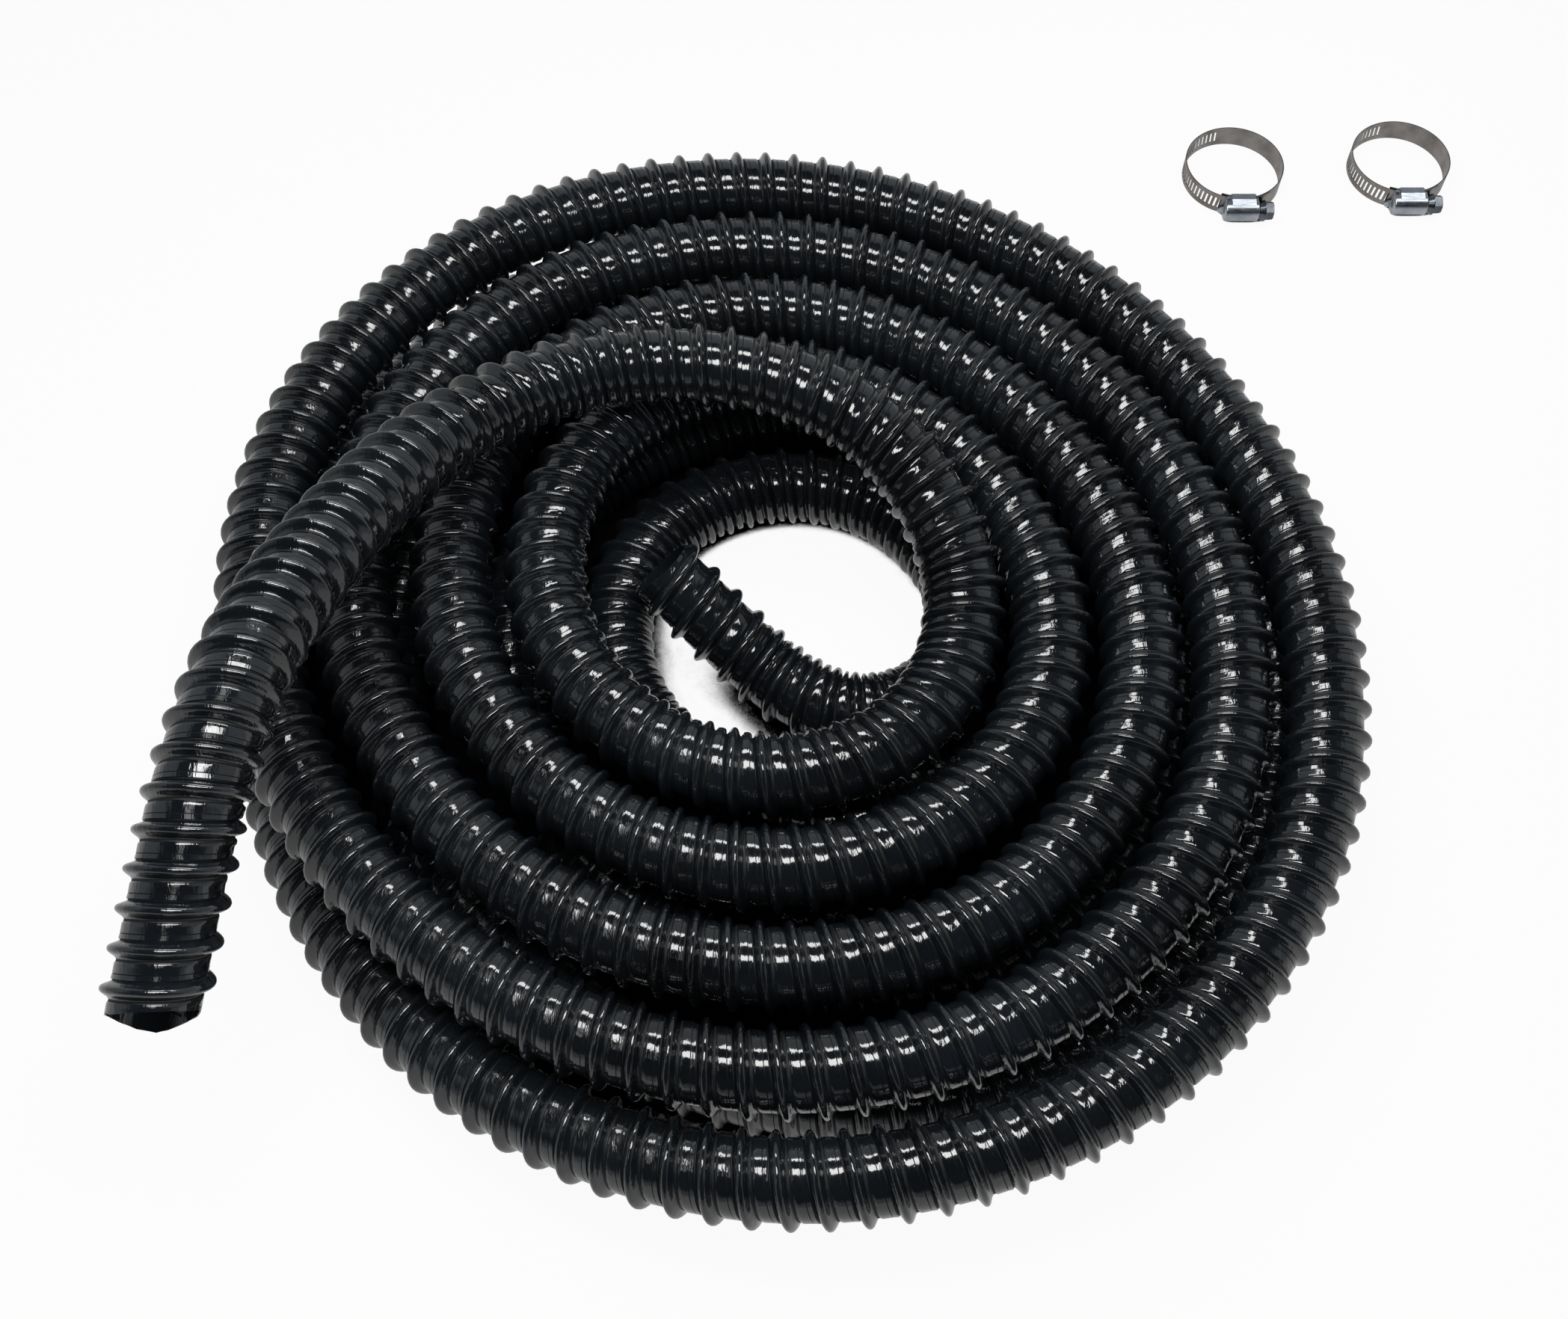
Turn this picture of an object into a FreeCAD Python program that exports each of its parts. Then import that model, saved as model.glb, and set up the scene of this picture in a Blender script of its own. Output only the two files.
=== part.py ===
import FreeCAD
import Part

import math
import os

V = FreeCAD.Vector

# Driving dimensions in millimetres. +Z is up, the floor is z = 0, the coil lies flat.
RIB_OD = 40.0
WALL_DEPTH = 4.1
BORE_R = RIB_OD / 2.0 - WALL_DEPTH
LAY = RIB_OD / 40.0
LOWER_Z = RIB_OD / 2.0
UPPER_Z = RIB_OD * 1.5075
TURN_GAP = RIB_OD * 1.025
FILLET_SHARE = 0.45
CHORD_SHARE = 0.967
COIL_X = -64.73
COIL_Y = -36.06
OUTER_STUB = 38.0
INNER_STUB = 30.0

BAND_T = 0.6
BAND_W = 12.7
BAND_Z = 0.7
BAND_R = 28.2
INNER_Y = BAND_R - 1.8
OUTER_Y = INNER_Y + BAND_T + 0.1
TAIL_ANGLE = 37.3
SLOT_PITCH = 2.8
SLOT_W = 1.2
SLOT_H = 7.4
SLOT_TILT = 5.0
SLOT_LAST = 29
SLOT_TAIL = 4
WALL = 0.8
BARREL_R = 5.9
BARREL_BORE_R = BARREL_R - WALL
BARREL_X0 = -8.8
BARREL_X1 = 10.6
WORM_CREST_R = BARREL_BORE_R - 0.3
WORM_ROOT_R = WORM_CREST_R - 1.0
AXIS_Y = -(OUTER_Y + WORM_ROOT_R + 0.85)
AXIS_Z = BAND_Z + BAND_W / 2.0
NECK_R = 3.2
PILOT_R = 2.0
RUN_CLEARANCE = 0.08
FLANGE_X0 = 11.1
FLANGE_X1 = 14.3
FLANGE_R0 = 4.5
FLANGE_R1 = 6.0
HEX_AF = 9.5
HEX_X1 = 19.1
CLAMP_A = (269.2, 328.3)
CLAMP_B = (367.5, 333.3)


def polar(degrees, radius, z, centre=(0.0, 0.0)):
    a = math.radians(degrees)
    return V(centre[0] + radius * math.cos(a), centre[1] + radius * math.sin(a), z)


# The free outer end and the length that crosses over the coil, from the mouth inwards.
# It and the radii below are those of a 40 mm hose, and LAY carries them to another size.
CROSSING = [
    (-224.0, -230.0, 152.0), (-213.4, -175.3, 179.2), (-208.7, -150.9, 186.8),
    (-203.8, -125.5, 189.5), (-199.5, -100.1, 185.9), (-195.4, -76.0, 177.0),
    (-189.3, -44.8, 162.5), (-180.6, -11.2, 147.0), (-168.4, 21.5, 132.2),
    (-150.2, 52.6, 119.4), (-125.4, 80.0, 109.8), (-93.2, 100.6, 104.3),
    (-55.6, 108.2, 102.8), (-11.4, 103.6, 102.6), (29.0, 90.3, 98.0),
    (60.5, 68.0, 86.5), (80.2, 37.2, 76.0),
]


def upper_radius(turned):
    """Centreline radius of the upper layer, by degrees turned clockwise from +X."""
    t = turned / 1590.0
    a = math.radians(-turned)
    base = 90.1 + 190.4 * t
    oval = (4.4 - 13.1 * t) * math.cos(a) + (11.3 - 6.6 * t) * math.sin(a)
    lobes = -(2.2 + 1.25 * t) * math.cos(2 * a) - (1.4 + 13.4 * t) * math.sin(2 * a)
    return base + oval + lobes


def upper_radii():
    """Radii of the upper layer every 30 degrees, with neighbouring turns pushed clear of each other."""
    radii = [LAY * upper_radius(turned) for turned in range(0, 1501, 30)]
    for _ in range(200):
        for i in range(len(radii) - 12):
            short = TURN_GAP - (radii[i + 12] - radii[i])
            if short > 0:
                radii[i] -= short * 0.6
                radii[i + 12] += short * 0.4
    return radii


def ramp(value, start, end):
    """Smooth step from 0 at start to 1 at end."""
    share = min(1.0, max(0.0, (value - start) / (end - start)))
    return share * share * (3.0 - 2.0 * share)


def lower_radius(turned):
    """Centreline radius of the lower layer, by degrees turned clockwise from 210 degrees."""
    a = math.radians(210.0 - turned)
    outer = 245.0 - 5.0 * math.sin(2 * a) + 4.0 * math.sin(a)
    middle = 188.0
    inner = 134.0 + 6.0 * math.cos(a - math.radians(45.0))
    first = outer + (middle - outer) * ramp(turned, 262.0, 365.0)
    second = first + (inner - middle) * ramp(turned, 630.0, 725.0)
    return second + (92.0 - inner) * ramp(turned, 936.0, 1035.0)


def hose_route():
    """Control points of the whole centreline, and the index where each stretch begins."""
    points = [V(*p) * LAY for p in CROSSING]
    upper_start = len(points)
    for i, radius in enumerate(upper_radii()):
        z = UPPER_Z + (4.5 * LAY if i == 0 else 0.0)
        points.append(polar(-30 * i, radius / CHORD_SHARE, z))
    dive_start = len(points)
    for turned, radius, z in [(1530, 269.5, 54.0), (1560, 253.6, 33.0), (1590, 242.0, 20.4)]:
        points.append(polar(-turned, LAY * radius / CHORD_SHARE, LAY * z))
    lower_start = len(points)
    for turned in range(30, 1021, 30):
        points.append(polar(210 - turned, LAY * lower_radius(turned) / CHORD_SHARE, LOWER_Z))
    inner_start = len(points)
    for angle in range(240, 29, -30):
        points.append(polar(angle, LAY * 87.5 / CHORD_SHARE, LOWER_Z, (8.3 * LAY, 6.7 * LAY)))
    for angle in (0, -30, -60):
        points.append(polar(angle, LAY * 56.0 / CHORD_SHARE, LOWER_Z, (41.0 * LAY, 15.0 * LAY)))
    for p in [(40.0, -42.0, 20.0), (13.0, -31.0, 20.0), (-12.0, -11.0, 24.5), (-54.0, 20.5, 54.5)]:
        points.append(V(*p) * LAY)
    return points, [upper_start, dive_start, lower_start, inner_start]


def bend_cuts(points):
    """Tangent length of the rounded corner at each control point."""
    runs = [(b - a).Length for a, b in zip(points, points[1:])]
    cuts = [0.0]
    for before, after in zip(runs, runs[1:]):
        cuts.append(FILLET_SHARE * min(before, after))
    cuts.append(0.0)
    return cuts


def tube(start, corners, cuts, end, radius):
    """Solid round tube from start to end; each corner is a true arc tangent to its runs."""
    chain = [start] + corners + [end]
    heading = (chain[1] - chain[0]).normalize()
    rim = Part.Circle(start, heading, radius).toShape()
    faces = [Part.Face(Part.Wire([rim]))]
    here = V(start)
    length = 0.0
    tightest = 1e9
    for before, corner, after, cut in zip(chain, corners, chain[2:], cuts):
        d1 = (corner - before).normalize()
        d2 = (after - corner).normalize()
        turn = d1.getAngle(d2)
        entry = corner - d1 * cut
        step = entry - here
        faces.append(rim.extrude(step))
        rim = rim.translated(step)
        bend = cut / math.tan(turn / 2.0)
        normal = d1.cross(d2).normalize()
        centre = entry + normal.cross(d1) * bend
        faces.append(rim.revolve(centre, normal, math.degrees(turn)))
        rim = rim.rotated(centre, normal, math.degrees(turn))
        here = corner + d2 * cut
        length += step.Length + bend * turn
        tightest = min(tightest, bend)
    step = end - here
    faces.append(rim.extrude(step))
    rim = rim.translated(step)
    faces.append(Part.Face(Part.Wire([rim])))
    length += step.Length
    shell = Part.makeShell([f for item in faces for f in item.Faces])
    shell.sewShape()
    solid = Part.Solid(Part.Shell(shell.Faces))
    if solid.Volume < 0:
        solid.reverse()
    exact = math.pi * radius ** 2 * length
    print("tube length %.0f tightest %.1f volume share %.4f" % (length, tightest, solid.Volume / exact))
    return solid


def hollow_stub(mouth, root, radius, bore):
    axis = root - mouth
    outer = Part.makeCylinder(radius, axis.Length, mouth, axis)
    unit = V(axis).normalize()
    inner = Part.makeCylinder(bore, axis.Length + 1.0, mouth - unit, axis)
    return outer.cut(inner)


def hose_nodes():
    points, starts = hose_route()
    shift = V(COIL_X, COIL_Y, 0)
    points = [p + shift for p in points]
    cuts = bend_cuts(points)
    radius = RIB_OD / 2.0
    middle = [(a + b) * 0.5 for a, b in zip(points, points[1:])]
    first = (points[1] - points[0]).normalize()
    last = (points[-2] - points[-1]).normalize()
    outer_root = points[0] + first * OUTER_STUB
    inner_root = points[-1] + last * INNER_STUB
    names = ["hose_crossing", "hose_upper_coil", "hose_return", "hose_lower_coil", "hose_inner_run"]
    bounds = [1] + starts + [len(points) - 1]
    nodes = {"hose_outer_end": hollow_stub(points[0], outer_root, radius, BORE_R)}
    for name, low, high in zip(names, bounds, bounds[1:]):
        start = outer_root if low == 1 else middle[low - 1]
        end = inner_root if high == len(points) - 1 else middle[high - 1]
        nodes[name] = tube(start, points[low:high], cuts[low:high], end, radius)
    nodes["hose_inner_end"] = hollow_stub(points[-1], inner_root, radius, BORE_R)
    return nodes


def on_circle(radius, degrees):
    """Point at an angle from -Y, positive towards +X."""
    a = math.radians(degrees)
    return V(radius * math.sin(a), -radius * math.cos(a), BAND_Z)


def line_angle(radius, y):
    return math.degrees(math.acos(y / radius))


def arc_edge(radius, first, last):
    middle = (first + last) / 2.0
    a, b, c = on_circle(radius, first), on_circle(radius, middle), on_circle(radius, last)
    return Part.Arc(a, b, c).toShape()


def line_edge(a, b):
    return Part.LineSegment(a, b).toShape()


def slot_tools():
    """Slanted cutters for the band's outer layer, one worm pitch apart."""
    tools = []
    line_end = math.sqrt(BAND_R ** 2 - OUTER_Y ** 2)
    tail_r = BAND_R + OUTER_Y - INNER_Y
    tail_start = math.sqrt(tail_r ** 2 - OUTER_Y ** 2)
    for n in range(-SLOT_TAIL, SLOT_LAST + 1):
        s = n * SLOT_PITCH
        depth = 0.8
        outer = OUTER_Y + BAND_T / 2.0 + 0.4
        if s < -tail_start:
            angle = line_angle(tail_r, OUTER_Y) + math.degrees((-s - tail_start) / tail_r)
            outer = tail_r + BAND_T / 2.0 + 0.4
            depth = BAND_T + 0.45
            x = 0.0
        elif s > line_end:
            angle = -line_angle(BAND_R, OUTER_Y) - math.degrees((s - line_end) / BAND_R)
            outer = BAND_R + BAND_T / 2.0 + 0.5
            depth = BAND_T + 1.0
            x = 0.0
        else:
            angle = 0.0
            depth = BAND_T + 0.45
            x = -s
        box = Part.makeBox(SLOT_W, depth, SLOT_H, V(-SLOT_W / 2.0, -outer, -SLOT_H / 2.0))
        box.rotate(V(0, 0, 0), V(0, 1, 0), SLOT_TILT)
        box.translate(V(x, 0, AXIS_Z))
        box.rotate(V(0, 0, 0), V(0, 0, 1), angle)
        tools.append(box)
    return tools


def clamp_band():
    half = BAND_T / 2.0
    tail_r = BAND_R + OUTER_Y - INNER_Y
    inner_r, outer_r = BAND_R - half, BAND_R + half
    a1 = line_angle(inner_r, INNER_Y - half)
    a2 = 360.0 - line_angle(inner_r, OUTER_Y - half)
    a3 = line_angle(tail_r - half, OUTER_Y - half)
    b3 = line_angle(tail_r + half, OUTER_Y + half)
    b2 = 360.0 - line_angle(outer_r, OUTER_Y + half)
    b1 = line_angle(outer_r, INNER_Y + half)
    fixed_in = V(-7.2, -(INNER_Y - half), BAND_Z)
    fixed_out = V(-7.2, -(INNER_Y + half), BAND_Z)
    edges = [
        line_edge(fixed_in, on_circle(inner_r, a1)),
        arc_edge(inner_r, a1, a2),
        line_edge(on_circle(inner_r, a2), on_circle(tail_r - half, a3)),
        arc_edge(tail_r - half, a3, TAIL_ANGLE),
        line_edge(on_circle(tail_r - half, TAIL_ANGLE), on_circle(tail_r + half, TAIL_ANGLE)),
        arc_edge(tail_r + half, TAIL_ANGLE, b3),
        line_edge(on_circle(tail_r + half, b3), on_circle(outer_r, b2)),
        arc_edge(outer_r, b2, b1),
        line_edge(on_circle(outer_r, b1), fixed_out),
        line_edge(fixed_out, fixed_in),
    ]
    strip = Part.Face(Part.Wire(edges)).extrude(V(0, 0, BAND_W))
    return strip.cut(Part.makeCompound(slot_tools()))


def prism(outline, direction):
    wire = Part.makePolygon(outline + [outline[0]])
    return Part.Face(wire).extrude(direction)


def clamp_saddle():
    y0 = -(INNER_Y - BAND_T / 2.0)
    flat = [(9.2, y0), (-6.6, y0), (-10.8, y0 + 1.4), (-10.55, y0 + 2.05), (-6.45, y0 + 0.7), (9.2, y0 + 0.7)]
    return prism([V(x, y, BAND_Z) for x, y in flat], V(0, 0, BAND_W))


def tab(x0, x1, flip):
    """Folded tab from the barrel over the band's edge to the saddle."""
    top = BAND_W / 2.0
    low, mid, high = 1.0 - INNER_Y, AXIS_Y + 2.15, AXIS_Y - 1.85
    under = -(OUTER_Y + BAND_T / 2.0)
    flat = [(low, top), (low, top + 0.7), (mid, top + 0.7), (high, BARREL_R - 0.05), (high, BARREL_R - 0.7),
            (under, BARREL_R - 0.7), (under, top)]
    outline = [V(x0, y, AXIS_Z + flip * z) for y, z in flat]
    return prism(outline, V(x1 - x0, 0, 0))


def clamp_housing():
    length = BARREL_X1 - BARREL_X0
    back = -(OUTER_Y + BAND_T / 2.0)
    round_part = Part.makeCylinder(BARREL_R, length, V(BARREL_X0, AXIS_Y, AXIS_Z), V(1, 0, 0))
    front = Part.makeBox(length, BARREL_R, 2 * BARREL_R, V(BARREL_X0, AXIS_Y - BARREL_R, AXIS_Z - BARREL_R))
    round_part = round_part.common(front)
    block = Part.makeBox(length, back - AXIS_Y, 2 * BARREL_R, V(BARREL_X0, AXIS_Y, AXIS_Z - BARREL_R))
    barrel = round_part.fuse(block).removeSplitter()
    rims = []
    for edge in barrel.Edges:
        box = edge.BoundBox
        if box.XLength < 1e-6 and box.YMin < AXIS_Y - 0.1:
            rims.append(edge)
    barrel = barrel.makeFillet(0.7, rims)
    axis = V(1, 0, 0)
    bore = Part.makeCylinder(BARREL_BORE_R, length - 2 * WALL, V(BARREL_X0 + WALL, AXIS_Y, AXIS_Z), axis)
    neck = Part.makeCylinder(NECK_R + RUN_CLEARANCE, WALL + 2, V(BARREL_X1 - WALL - 1, AXIS_Y, AXIS_Z), axis)
    pilot = Part.makeCylinder(PILOT_R + RUN_CLEARANCE, WALL + 2, V(BARREL_X0 - 1, AXIS_Y, AXIS_Z), axis)
    body = barrel.fuse([tab(-5.2, 8.6, 1), tab(-5.2, 8.6, -1)])
    ear = prism(
        [V(x, back, AXIS_Z + z) for x, z in [(-8.2, -1.0), (-9.4, -0.6), (-12.4, -3.6), (-9.6, -6.2), (-8.2, -5.4)]],
        V(0, -0.8, 0))
    lug = Part.makeBox(2.6, 1.6, 1.6, V(-8.2, back - 1.6, AXIS_Z + BARREL_R - 0.5))
    lug = lug.cut(Part.makeBox(1.2, 3.0, 0.6, V(-7.5, back - 2.0, AXIS_Z + BARREL_R + 0.2)))
    body = body.fuse([ear, lug]).removeSplitter()
    return body.cut(Part.makeCompound([bore, neck, pilot]))


def clamp_screw():
    """Worm, flange and slotted hexagonal head, turned about X through the screw axis."""
    helix_low, turns = -2.5 * SLOT_PITCH, 5.5
    helix = Part.makeHelix(SLOT_PITCH, turns * SLOT_PITCH, WORM_ROOT_R)
    flat = [(WORM_ROOT_R - 0.2, -0.75), (WORM_CREST_R, -0.3), (WORM_CREST_R, 0.3), (WORM_ROOT_R - 0.2, 0.75)]
    profile = Part.makePolygon([V(r, 0, z) for r, z in flat + [flat[0]]])
    thread = Part.Wire(helix).makePipeShell([profile], True, True)
    thread.rotate(V(0, 0, 0), V(0, 0, 1), 180.0)
    thread.translate(V(0, 0, helix_low))
    outline = [
        (0, BARREL_X0), (PILOT_R, BARREL_X0), (PILOT_R, BARREL_X0 + WALL + 0.1),
        (WORM_ROOT_R, BARREL_X0 + WALL + 0.1), (WORM_ROOT_R, BARREL_X1 - WALL - 0.1),
        (NECK_R, BARREL_X1 - WALL - 0.1), (NECK_R, FLANGE_X0), (FLANGE_R0, FLANGE_X0),
        (FLANGE_R1, FLANGE_X1 - 0.5), (FLANGE_R1, FLANGE_X1), (0, FLANGE_X1),
    ]
    wire = Part.makePolygon([V(r, 0, z) for r, z in outline + [outline[0]]])
    core = Part.Face(wire).revolve(V(0, 0, 0), V(0, 0, 1), 360)
    corner = HEX_AF / math.sqrt(3.0)
    ring = [V(corner * math.cos(math.radians(a)), corner * math.sin(math.radians(a)), FLANGE_X1 - 0.1)
            for a in range(25, 385, 60)]
    head = prism(ring, V(0, 0, HEX_X1 - FLANGE_X1 + 0.1))
    cone = Part.makeCone(corner + 3.4, corner - 0.45, 3.85, V(0, 0, HEX_X1 - 3.85))
    head = head.common(cone.fuse(Part.makeCylinder(corner + 3.4, 2.0, V(0, 0, FLANGE_X1 - 0.5))))
    notch = Part.makeBox(20.0, 1.4, 3.0, V(-10.0, -0.7, HEX_X1 - 1.9))
    notch.rotate(V(0, 0, 0), V(0, 0, 1), 25.0)
    screw = core.fuse([thread, head]).cut(notch)
    screw.rotate(V(0, 0, 0), V(1, 1, 1), 120.0)
    screw.translate(V(0, AXIS_Y, AXIS_Z))
    return screw


def clamp_nodes(letter, place):
    shift = V(place[0] + COIL_X, place[1] + COIL_Y, 0)
    pieces = {
        "band": clamp_band(),
        "housing": clamp_housing(),
        "saddle": clamp_saddle(),
        "screw": clamp_screw(),
    }
    return {"clamp_%s_%s" % (letter, name): shape.translated(shift) for name, shape in pieces.items()}


def main():
    os.makedirs("parts", exist_ok=True)
    nodes = hose_nodes()
    nodes.update(clamp_nodes("a", CLAMP_A))
    nodes.update(clamp_nodes("b", CLAMP_B))
    box = FreeCAD.BoundBox()
    for name, shape in nodes.items():
        if shape.ShapeType == "Compound" and len(shape.Solids) == 1:
            shape = shape.Solids[0]
        print(name, shape.ShapeType, len(shape.Solids), shape.isValid(), round(shape.Volume, 1))
        box.add(shape.optimalBoundingBox(False, False))
        shape.exportStep("parts/%s.step" % name)
    print("x %.2f %.2f y %.2f %.2f z %.2f %.2f" % (box.XMin, box.XMax, box.YMin, box.YMax, box.ZMin, box.ZMax))
    print("centre %.3f %.3f" % (box.Center.x, box.Center.y))


main()
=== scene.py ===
"""A coiled ribbed drain hose and two loose worm-drive band clamps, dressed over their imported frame.

All sizes are in millimetres unless a name says otherwise, and turn to metres where a mesh is made.
"""
import logging
import math
from dataclasses import dataclass, field
from enum import Enum
from typing import Iterable

import bmesh
import bpy
import numpy as np
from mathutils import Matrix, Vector


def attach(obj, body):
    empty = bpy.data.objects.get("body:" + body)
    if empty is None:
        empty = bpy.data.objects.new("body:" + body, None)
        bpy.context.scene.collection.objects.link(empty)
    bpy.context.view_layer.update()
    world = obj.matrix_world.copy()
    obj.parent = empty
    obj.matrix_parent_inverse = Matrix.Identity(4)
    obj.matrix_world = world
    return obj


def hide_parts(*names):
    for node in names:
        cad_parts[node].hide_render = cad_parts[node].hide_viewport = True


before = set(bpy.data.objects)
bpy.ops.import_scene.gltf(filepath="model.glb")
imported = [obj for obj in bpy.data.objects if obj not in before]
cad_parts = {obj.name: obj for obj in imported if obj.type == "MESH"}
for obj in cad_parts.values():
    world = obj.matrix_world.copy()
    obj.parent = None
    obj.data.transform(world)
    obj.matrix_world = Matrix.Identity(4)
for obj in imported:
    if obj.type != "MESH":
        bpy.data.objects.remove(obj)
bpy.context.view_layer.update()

MM = 0.001
LOG = logging.getLogger("hose_kit")


def srgb(code: str) -> tuple[float, float, float, float]:
    """Turn an sRGB hex code into a linear colour.

    Args:
        code: Six hex digits, with or without a leading hash.

    Returns:
        Red, green, blue and an alpha of 1.
    """
    digits = code.lstrip("#")
    channels = [int(digits[i:i + 2], 16) / 255.0 for i in (0, 2, 4)]
    linear = [c / 12.92 if c <= 0.04045 else ((c + 0.055) / 1.055) ** 2.4 for c in channels]
    return (linear[0], linear[1], linear[2], 1.0)


def per_metre(size: float) -> float:
    """Number of features to the metre, for a pattern whose features are so many millimetres wide."""
    return 1000.0 / size


def add_node(tree: bpy.types.NodeTree, kind: str, settings: dict | None = None,
             inputs: dict | None = None) -> bpy.types.Node:
    """Add a node with its settings, its socket values and its links.

    Args:
        tree: Node tree that gets the node.
        kind: Node type's identifier.
        settings: Properties of the node, by name.
        inputs: Value or output socket for each input, by name or index.

    Returns:
        The new node.
    """
    node = tree.nodes.new(kind)
    for name, value in (settings or {}).items():
        setattr(node, name, value)
    for name, value in (inputs or {}).items():
        if isinstance(value, bpy.types.NodeSocket):
            tree.links.new(value, node.inputs[name])
        else:
            node.inputs[name].default_value = value
    return node


def set_ramp(node: bpy.types.Node, stops: Iterable[tuple[float, str]]) -> None:
    """Give a colour ramp its stops.

    Args:
        node: Color Ramp node.
        stops: Place and hex colour of each stop, in order.
    """
    stops = list(stops)
    ramp = node.color_ramp
    while len(ramp.elements) < len(stops):
        ramp.elements.new(0.5)
    for element, (place, code) in zip(ramp.elements, stops):
        element.position = place
        element.color = srgb(code)


class Mouth(Enum):
    """The two cut ends of the hose, each with the way along X in which the hose goes on from it."""

    OUTER = 1
    INNER = -1


@dataclass(frozen=True)
class VinylFinish:
    """Extruded plasticised PVC: a wet-looking black skin with short drag lines, and dull grooves with
    painted shade.

    The creases are places across one pitch of the rib, from 0 to 1: start, full, full and end.
    """

    name: str = "extruded_black_vinyl"
    deep: str = "#0d1013"
    pale: str = "#1e2328"
    line_mm: float = 1.5
    drag_mm: float = 6.0
    ripple_mm: float = 9.0
    cloud_mm: float = 70.0
    pitch_mm: float = 15.6
    roughness: float = 0.10
    crease_roughness: float = 0.5
    ior: float = 1.6
    # Nearly black colour painted into the grooves as shade.
    painted_groove_shade: str = "#030405"
    creases: tuple[tuple[float, ...], ...] = (
        (0.19, 0.21, 0.26, 0.29),
        (0.706, 0.716, 0.738, 0.748),
        (0.876, 0.882, 0.892, 0.899),
    )

    def build(self) -> bpy.types.Material:
        """Make the material, whose grooves follow the UV map that the skin carries in metres.

        Returns:
            The material.
        """
        material = bpy.data.materials.new(self.name)
        material.use_nodes = True
        tree = material.node_tree
        tree.nodes.clear()
        place = add_node(tree, "ShaderNodeTexCoord")
        along = add_node(tree, "ShaderNodeMapping", inputs={
            "Vector": place.outputs["Object"],
            "Scale": (per_metre(self.line_mm), per_metre(self.drag_mm), per_metre(self.drag_mm))})
        lines = add_node(tree, "ShaderNodeTexNoise", inputs={
            "Vector": along.outputs["Vector"], "Scale": 1.0, "Detail": 2.5, "Roughness": 0.62})
        ripple = add_node(tree, "ShaderNodeTexNoise", inputs={
            "Vector": place.outputs["Object"], "Scale": per_metre(self.ripple_mm), "Detail": 1.0})
        cloud = add_node(tree, "ShaderNodeTexNoise", inputs={
            "Vector": place.outputs["Object"], "Scale": per_metre(self.cloud_mm), "Detail": 3.0})
        tone = add_node(tree, "ShaderNodeValToRGB", inputs={"Fac": cloud.outputs["Fac"]})
        set_ramp(tone, [(0.3, self.deep), (0.72, self.pale)])
        crease = self.crease(tree, place)
        # Painted shade: the colour turns nearly black in the grooves, which also get more roughness and
        # lose their coat.
        colour = add_node(tree, "ShaderNodeMix", {"data_type": "RGBA"}, {
            0: crease, 6: tone.outputs["Color"], 7: srgb(self.painted_groove_shade)})
        sheen = add_node(tree, "ShaderNodeMapRange", inputs={
            "Value": lines.outputs["Fac"], "From Min": 0.35, "From Max": 0.7,
            "To Min": self.roughness * 0.7, "To Max": self.roughness * 1.7})
        dull = add_node(tree, "ShaderNodeMath", {"operation": "MULTIPLY_ADD"}, {
            0: crease, 1: self.crease_roughness, 2: sheen.outputs["Result"]})
        gloss = add_node(tree, "ShaderNodeMath", {"operation": "SUBTRACT"}, {0: 1.0, 1: crease})
        low = add_node(tree, "ShaderNodeBump", inputs={
            "Height": ripple.outputs["Fac"], "Strength": 0.35, "Distance": 0.0006})
        fine = add_node(tree, "ShaderNodeBump", inputs={
            "Height": lines.outputs["Fac"], "Strength": 0.8, "Distance": 0.00022,
            "Normal": low.outputs["Normal"]})
        shader = add_node(tree, "ShaderNodeBsdfPrincipled", inputs={
            "Base Color": colour.outputs[2], "Roughness": dull.outputs[0],
            "IOR": self.ior, "Coat Weight": gloss.outputs[0], "Coat Roughness": 0.06, "Coat IOR": 1.5,
            "Normal": fine.outputs["Normal"], "Coat Normal": fine.outputs["Normal"]})
        add_node(tree, "ShaderNodeOutputMaterial", inputs={"Surface": shader.outputs["BSDF"]})
        return material

    def crease(self, tree: bpy.types.NodeTree, place: bpy.types.Node) -> bpy.types.NodeSocket:
        """Mask of the narrow grooves beside the rib, from the UV map's way across it.

        Args:
            tree: Node tree that gets the nodes.
            place: Texture Coordinate node.

        Returns:
            Socket that is 1 in the grooves and 0 elsewhere.
        """
        split = add_node(tree, "ShaderNodeSeparateXYZ", inputs={"Vector": place.outputs["UV"]})
        share = add_node(tree, "ShaderNodeMapRange", inputs={
            "Value": split.outputs["X"], "From Min": -self.pitch_mm * MM / 2.0,
            "From Max": self.pitch_mm * MM / 2.0})
        mask = add_node(tree, "ShaderNodeValToRGB", inputs={"Fac": share.outputs["Result"]})
        edge = ("#000000", "#ffffff", "#ffffff", "#000000")
        set_ramp(mask, [stop for groove in self.creases for stop in zip(groove, edge)])
        return mask.outputs["Color"]


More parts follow.
